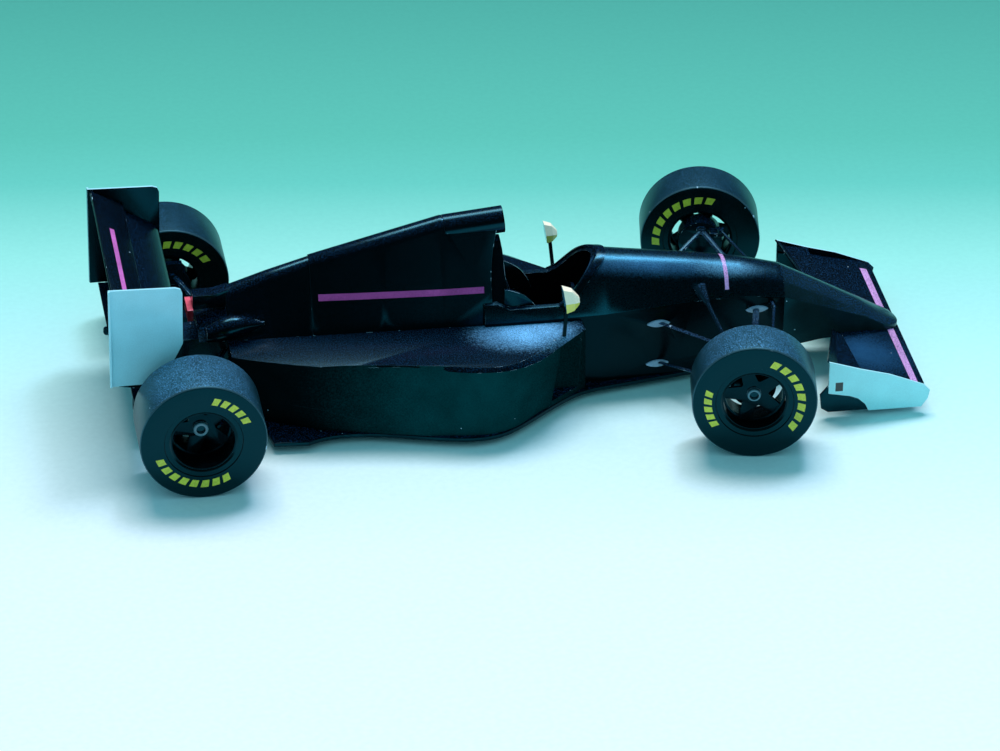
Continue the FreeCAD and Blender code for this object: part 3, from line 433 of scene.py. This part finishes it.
# A lug's place is in mm ahead of the front axle and above the table. Any panel that lies wholly in
# a lug's box belongs to it, and one that leans upwards belongs to the rolled top.
front_axle = joint_named("steering_right")["pos_m"][0] / mm
lug_places = [(-17.0, 15.8), (5.6, 16.6), (-17.0, 5.6), (4.6, 5.8)]
lug_half_length = 2.9
lug_half_height = 1.1
lug_root = 5
upward_lean = 0.25


def in_lug(corners, along, height):
    return all(abs(corner.y) > lug_root and abs(corner.x - front_axle - along) < lug_half_length
               and abs(corner.z - height) < lug_half_height for corner in corners)


for panel in tub.data.polygons:
    corners = [tub.data.vertices[index].co / mm for index in panel.vertices]
    if any(in_lug(corners, along, height) for along, height in lug_places):
        panel.material_index = tub_coats.index(lug_card)
    elif panel.material_index == tub_coats.index(tub_card) and panel.normal.z > upward_lean:
        panel.material_index = tub_coats.index(rolled_top)

# The windscreen: a thin strip of black card, bent round the cowl's raked edge and glued to it. Its
# cut rim shows the card's core.
black_card = printed_card("black_card", toner_black, painted_glint=1.0, Specular_Tint=blue_sheen)
folded_card("windscreen", [black_card, cut_edge], fold=0.12)

# The nose cone: a long wedge of card with a rolled top, closed underneath. It meets the tub at a
# glued seam and sits on the middle of the front wing.
nose_card = printed_card("nose_card", (0.006, 0.020, 0.022), painted_glint=2.0, Specular_Tint=blue_sheen,
                         Specular_IOR_Level=0.3)
folded_card("nose_cone", [nose_card, cut_edge])

# The floor: the flat base sheet, which the tub and the sidepods are glued on, and behind it the
# diffuser with its four fences.
dull_black = printed_card("dull_black", toner_black, painted_glint=0.5, Specular_Tint=blue_sheen,
                          Specular_IOR_Level=0.15)
folded_card("floor", [black_card, dull_black], fold=0.15)
folded_card("diffuser", [black_card, cut_edge])

# The sidepods: card boxes with a rolled flank, glued to the tub and the floor, open and dark at
# their slanted mouths. A painted highlight lies on the right one's deck beside the cockpit, and a
# faint painted reflection of the table lies on its flank.
# Painted highlight on the right deck beside the cockpit.
painted_deck_highlight = ((0.20, 0.62, 1.0), (rear_axle + 74.5, -12.5, 18.5), (13, 9, 3))
pod_card = printed_card("pod_card", toner_black, painted_glint=1.2, glint=(0.003, 0.040, 0.10), spots=[painted_deck_highlight],
                        Specular_Tint=blue_sheen, Specular_IOR_Level=0.4)
# Painted reflection of the table on the flanks, whose own reflection is turned off.
painted_flank_reflection = ((0.0015, 0.042, 0.046), (rear_axle + 60.0, -30.0, 12.0), (34, 60, 60))
flank_card = printed_card("flank_card", (0.001, 0.004, 0.005), spots=[painted_flank_reflection],
                          Specular_Tint=blue_sheen, Specular_IOR_Level=0.0)
worn_fold = {"X": stations(65, 80), "Y": (-30, -8), "Z": (17.2, 19)}
steep_below = 0.5
outward_above = 0.3
for name, deck_card, worn in (("sidepod_left", black_card, []), ("sidepod_right", pod_card, [worn_fold])):
    pod_coats = [deck_card, cut_edge, bare_edge, flank_card, dull_black]
    pod = folded_card(name, pod_coats, fold=0.12, worn=worn)
    for panel in pod.data.polygons:
        outward = panel.normal.y * math.copysign(1, panel.center.y)
        if panel.material_index == pod_coats.index(deck_card) and abs(panel.normal.z) < steep_below:
            steep_coat = flank_card if outward > outward_above else dull_black
            panel.material_index = pod_coats.index(steep_coat)

# The engine cover: a tall, narrow shell rolled along its spine and glued to the tub, with a magenta
# bar printed on each side. The round intake lies in its top, and the rear cover closes it behind.
magenta = (0.50, 0.08, 0.33)
bar = {"X": stations(29.6, 66.1), "Z": (25.6, 27.0)}
cover_card = printed_card("cover_card", toner_black, painted_glint=1.0, stripes=[(magenta, bar)],
                          Specular_Tint=blue_sheen)
front_edge = {"X": stations(66, 75), "Z": (35.5, 45)}
folded_card("engine_cover", [cover_card, cut_edge, bare_edge], worn=[front_edge])
folded_card("airbox", [black_card, dull_black])
folded_card("rear_cover", [black_card, cut_edge])

# The cockpit: a headrest with two cheek pads, a seat and a steering wheel, cut from black card and
# glued inside the tub's opening.
folded_card("headrest", [black_card, bare_edge], fold=0.12)
folded_card("seat", [black_card, cut_edge])
folded_card("steering_wheel", [black_card, cut_edge], fold=0.06)

# The mirrors: folded yellow shells glued on black posts. Their top facets are painted pale, a painted
# highlight of the light from above, and they are blue on the faces that look back.
yellow = printed_card("yellow_card", (0.80, 0.78, 0.13), paper=(0.95, 0.95, 0.7), wear=0.2, mottle=0.3)
# Painted highlight: the top facets get a paler yellow where the light from above falls.
painted_lit_yellow = printed_card("painted_lit_yellow", (1.0, 1.0, 0.74), paper=(1, 1, 0.85), wear=0.25, mottle=0.3)
mirror_face = printed_card("mirror_face", (0.10, 0.42, 0.55), paper=(0.6, 0.85, 0.9), wear=0.25, shine=0.1)
mirror_coats = [yellow, painted_lit_yellow, mirror_face]
looking_back = -0.9
top_lean = 0.35
mirrors = folded_card("mirrors", mirror_coats, fold=0.06, sharp=12)
for panel in mirrors.data.polygons:
    if panel.normal.x < looking_back:
        panel.material_index = mirror_coats.index(mirror_face)
    elif panel.normal.z > top_lean:
        panel.material_index = mirror_coats.index(painted_lit_yellow)
folded_card("mirror_posts", [dull_black, dull_black])

# The gearbox casing: a dark grey box folded from card behind the engine cover. The rear wishbones,
# driveshafts and uprights are cut from the same card and glued to it.
grey_card = printed_card("grey_card", (0.003, 0.008, 0.011), specks=0.03, wear=0.25, painted_glint=2.0,
                         Specular_Tint=blue_sheen)
for name in ("gearbox", "rear_wishbones_left", "rear_wishbones_right", "driveshafts", "rear_uprights"):
    folded_card(name, [grey_card, cut_edge])

# The rear light: a small red box of card on its bracket, with a brighter lens printed on its upper
# part.
lens = {"Z": (24.15, 30)}
red = printed_card("red_card", (0.16, 0.006, 0.012), paper=(0.8, 0.4, 0.4), wear=0.25,
                   stripes=[((0.80, 0.14, 0.20), lens)])
folded_card("tail_light", [red, red])

# The rear wing: a main plane, a flap with a pink stripe, and a low beam, all folded from black card
# and glued between two end plates that are pale outside.
wing_pink = (0.66, 0.18, 0.58)
wing_stripe = {"X": stations(-14.6, -13.6), "Y": (-20.5, 7.7)}
flap_card = printed_card("flap_card", toner_black, painted_glint=0.6, stripes=[(wing_pink, wing_stripe)],
                         Specular_Tint=blue_sheen)
folded_card("rear_wing_main", [black_card, cut_edge])
folded_card("rear_wing_flap", [flap_card, cut_edge])
folded_card("rear_wing_beam", [black_card, cut_edge])
plate_card = printed_card("plate_card", (0.40, 0.90, 1.0), paper=(0.6, 0.85, 0.9), wear=0.15, mottle=0.25)
pale_edge = printed_card("pale_edge", (0.50, 0.86, 0.92), paper=(0.9, 1, 1), wear=0.3, mottle=0.3)


# A pair of end plates, pale outside and black inside, with the card's cut edge round them.
def end_plates(node, outside):
    coats = [outside, pale_edge, black_card]
    sideways_above = 0.5
    plates = folded_card(node, coats)
    for panel in plates.data.polygons:
        if abs(panel.normal.y) > sideways_above and panel.normal.y * panel.center.y < 0:
            panel.material_index = coats.index(black_card)


end_plates("rear_end_plates", plate_card)

# The front wing: a plane, two flaps and two fences of black card, glued between pale end plates. A
# pale pink stripe crosses the plane, and a painted highlight lies on its near half.
nose_stripe = {"X": stations(158.3, 159.9), "Y": (-27.6, 24)}
# Painted highlight on the near half of the plane.
painted_wing_highlight = ((0.012, 0.07, 0.15), (rear_axle + 149.0, -16.0, 8.0), (14, 12, 8))
front_card = printed_card("front_card", toner_black, painted_glint=1.0, stripes=[(pale_pink, nose_stripe)],
                          spots=[painted_wing_highlight], Specular_Tint=blue_sheen)
folded_card("front_wing_plane", [front_card, cut_edge])
folded_card("front_flaps", [black_card, cut_edge])
folded_card("front_fences", [black_card, cut_edge])
dark_mark = {"X": stations(141.1, 142.8), "Y": (-40, -20), "Z": (6.8, 9.0)}
front_plate = printed_card("front_plate_card", (0.42, 0.97, 1.0), paper=(0.8, 1, 1), wear=0.15, mottle=0.2,
                           stripes=[((0.03, 0.05, 0.05), dark_mark)])
end_plates("front_end_plates", front_plate)

# The front suspension and the steering: wishbones and pushrods cut from dark card, speckled on top
# with painted glints of the light from above, and the uprights and the rack, folded from grey card and
# left free to move.
arm_card = printed_card("arm_card", (0.005, 0.014, 0.024), specks=0.05, wear=0.3, painted_glint=1.8,
                        glint=(0.03, 0.10, 0.20), Specular_Tint=blue_sheen)
for name in ("front_wishbones_left", "front_wishbones_right", "front_pushrods"):
    folded_card(name, [arm_card, cut_edge])
for name in ("steering_rack", "front_upright_left", "front_upright_right"):
    folded_card(name, [grey_card, cut_edge])

# The wheels: a dark card disc with five spokes in each rolled rim, a paper tube for the hub, and a
# tyre built from rings of card, with yellow dashes printed round both of its sides. The treads of
# the right-hand tyres carry a paler ink and a stronger painted highlight on their tops.
rim_card = printed_card("rim_card", (0.001, 0.0022, 0.0028), specks=0.005, wear=0.1,
                        Specular_Tint=blue_sheen, Specular_IOR_Level=0.25)
tube_card = printed_card("tube_card", (0.03, 0.10, 0.12), paper=(0.2, 0.45, 0.5), wear=0.35,
                         Specular_Tint=blue_sheen)
tube_end = printed_card("tube_end", (0.07, 0.22, 0.27), paper=(0.2, 0.45, 0.5), wear=0.3)
sidewall_teal = (0.0012, 0.0070, 0.0072)
tread_card = printed_card("tread_card", (0.004, 0.026, 0.036), specks=0.01, wear=0.12, shine=-0.13, painted_glint=0.9,
                          glint=(0.03, 0.13, 0.25), bump=0.3, Specular_Tint=blue_sheen)
# Painted highlight: the right-hand treads get a paler ink and more painted glint on top.
tread_painted_highlight = printed_card("tread_painted_highlight", (0.005, 0.034, 0.048), specks=0.01, wear=0.12, shine=-0.13,
                            painted_glint=1.7, glint=(0.08, 0.29, 0.50), bump=0.2, Specular_Tint=blue_sheen)
corner_card = printed_card("corner_card", (0.03, 0.08, 0.10), specks=0.0, wear=0.34, shine=-0.15,
                           Specular_Tint=blue_sheen)

# A tyre's map named round holds the turn about the axle and the distance from it, as shares of a
# full turn in degrees and of a reach in mm. The dashes lean by a few degrees along their height.
full_turn = 360
map_reach = 20
dash_yellow = (0.62, 0.68, 0.06)
dash_ring = 10.2
dash_half_height = 0.85
dash_half_share = 0.34
dash_lean = 1.4


def close_to_nought(tree, label, offset, limit):
    return maths(tree, "LESS_THAN", label, maths(tree, "ABSOLUTE", "either side", offset), limit)


dashes, given, made = new_effect("dash_arc", {"Centre": "Float", "Reach": "Float", "Count": "Float"},
                                 {"Mask": "Float"})
round_map = labelled(dashes, "ShaderNodeUVMap", "shares of turn and reach", uv_map="round")
polar = by_axis(dashes, round_map.outputs["UV"], "turn and distance")
map_degrees = maths(dashes, "MULTIPLY", "degrees", polar["X"], full_turn)
map_radius = maths(dashes, "MULTIPLY", "millimetres", polar["Y"], map_reach)
off_ring = maths(dashes, "SUBTRACT", "off the ring", map_radius, dash_ring)
off_centre = maths(dashes, "SUBTRACT", "off the arc's middle", map_degrees, given["Centre"])
leaning = maths(dashes, "MULTIPLY_ADD", "lean", off_ring, dash_lean, off_centre)
wrapped = maths(dashes, "WRAP", "either way", leaning, full_turn / 2, -full_turn / 2)
from_end = maths(dashes, "ADD", "from the arc's end", wrapped, given["Reach"])
arc_length = maths(dashes, "MULTIPLY", "whole length", given["Reach"], 2)
arc_share = maths(dashes, "DIVIDE", "share of the arc", from_end, arc_length)
steps = maths(dashes, "MULTIPLY", "dash steps", arc_share, given["Count"])
in_step = maths(dashes, "FRACT", "in its step", steps)
off_middle = maths(dashes, "SUBTRACT", "off a dash's middle", in_step, 0.5)
in_arc = close_to_nought(dashes, "in the arc", wrapped, given["Reach"])
in_dash = close_to_nought(dashes, "in a dash", off_middle, dash_half_share)
in_ring = close_to_nought(dashes, "in the ring", off_ring, dash_half_height)
in_both = maths(dashes, "MULTIPLY", "in a dash of the arc", in_dash, in_arc)
feed(dashes, maths(dashes, "MULTIPLY", "printed", in_both, in_ring), made["Mask"])


def tyre_print(name, arcs):
    material = printed_card(name, sidewall_teal, specks=0.006, wear=0.12, Specular_Tint=blue_sheen,
                            Specular_IOR_Level=0.38)
    tree = material.node_tree
    ink = sidewall_teal
    for centre, reach, count in arcs:
        arc = placed_effect(tree, dashes, "dash arc", Centre=centre, Reach=reach, Count=count)
        ink = mixed(tree, arc["Mask"], ink, dash_yellow, "dashes")
    feed(tree, ink, tree.nodes["toner on card"].inputs["Ink"])
    return material


def wheel_frame(corner):
    joint = joint_named(corner + "_spin")
    axle = Vector(joint["axis"]).normalized()
    forward = axle.cross(Vector((0, 0, 1)))
    return Matrix.Translation(Vector(joint["pos_m"])) @ Matrix((
        (forward.x, axle.x, 0), (forward.y, axle.y, 0), (forward.z, axle.z, 1))).to_4x4()


# A tyre starts as a cylinder about the axle. Both of its ends are inset in steps, each (inward,
# outward) in mm, round the shoulder, down the sidewall and in past the bead, and then joined.
def rolled_tyre(corner, radius, width, print_material):
    shoulder = 0.4
    shoulder_steps = [(0.04, 0.16), (0.09, 0.13), (0.12, 0.08), (0.15, 0.03)]
    bead_radius = 8.55
    bead_steps = [(0.15, -0.25), (1.0, 0), (0.4, -0.3)]
    sidewall = radius - shoulder - bead_radius
    sidewall_steps = [(sidewall / 2, 0), (sidewall / 2, 0)]
    bpy.ops.object.select_all(action="DESELECT")
    bpy.ops.mesh.primitive_cylinder_add(vertices=128, radius=radius * mm, depth=(width - 2 * shoulder) * mm,
                                        rotation=(math.pi / 2, 0, 0))
    tyre = bpy.context.object
    tyre.name = corner + "_card_tyre"
    bpy.ops.object.transform_apply(rotation=True)
    bpy.ops.object.mode_set(mode="EDIT")
    bpy.ops.mesh.select_all(action="DESELECT")
    end_facing = 0.9
    shape = bmesh.from_edit_mesh(tyre.data)
    for face in shape.faces:
        face.select = abs(face.normal.y) > end_facing
    bmesh.update_edit_mesh(tyre.data)
    for inward, outward in shoulder_steps + sidewall_steps + bead_steps:
        bpy.ops.mesh.inset(thickness=inward * mm, depth=outward * mm)
    bpy.ops.mesh.delete(type="FACE")
    shape = bmesh.from_edit_mesh(tyre.data)
    for edge in shape.edges:
        edge.select = edge.is_boundary
    bmesh.update_edit_mesh(tyre.data)
    bpy.ops.mesh.bridge_edge_loops()
    bpy.ops.mesh.select_all(action="SELECT")
    bpy.ops.mesh.normals_make_consistent(inside=False)
    bpy.ops.object.mode_set(mode="OBJECT")
    bpy.ops.object.shade_smooth_by_angle(angle=math.radians(28))

    round_layer = tyre.data.uv_layers.new(name="round")
    for face in tyre.data.polygons:
        middle = math.atan2(face.center.z, face.center.x)
        for loop_index in face.loop_indices:
            point = tyre.data.vertices[tyre.data.loops[loop_index].vertex_index].co
            angle = math.atan2(point.z, point.x)
            angle = middle + math.remainder(angle - middle, 2 * math.pi)
            distance = math.hypot(point.x, point.z) / mm
            round_layer.data[loop_index].uv = (math.degrees(angle) / full_turn, distance / map_reach)

    # The right-hand tyres take the tread with the painted highlight.
    tread = tread_painted_highlight if corner.endswith("right") else tread_card
    coats = [print_material, tread, corner_card]
    for coat in coats:
        tyre.data.materials.append(coat)
    rolled_depth = 0.3
    level_below = 0.1
    for face in tyre.data.polygons:
        if math.hypot(face.center.x, face.center.z) > (radius - rolled_depth) * mm:
            outer_coat = tread if abs(face.normal.y) < level_below else corner_card
            face.material_index = coats.index(outer_coat)
    tyre.data.transform(wheel_frame(corner))
    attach(tyre, corner)
    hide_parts(corner.replace("wheel", "tyre"))


# Each wheel has its tyre's radius and width in mm, and its arcs of dashes as the middle and the
# reach to each side, in degrees, and the count. Only panels within the hub's radius belong to the
# paper tube.
front_size = (13.65, 10.5)
rear_size = (13.75, 14.2)
wheels = {
    "front_wheel_right": (front_size, [(16, 57, 8), (190, 27, 5)]),
    "front_wheel_left": (front_size, [(131, 59, 8), (300, 27, 5)]),
    "rear_wheel_right": (rear_size, [(251, 53, 8), (51, 29, 5)]),
    "rear_wheel_left": (rear_size, [(84, 55, 8), (262, 27, 5)]),
}
rim_coats = [rim_card, rim_card, tube_card, tube_end]
hub_radius = 1.8
end_above = 0.7
for corner, (size, arcs) in wheels.items():
    rolled_tyre(corner, *size, tyre_print(corner + "_print", arcs))
    rim = folded_card(corner.replace("wheel", "rim"), rim_coats, fold=0.05)
    to_wheel = wheel_frame(corner).inverted()
    for panel in rim.data.polygons:
        points = [to_wheel @ rim.data.vertices[index].co for index in panel.vertices]
        if max(math.hypot(point.x, point.z) for point in points) < hub_radius * mm:
            along_axle = abs((to_wheel.to_3x3() @ panel.normal).y)
            panel.material_index = rim_coats.index(tube_end if along_axle > end_above else tube_card)
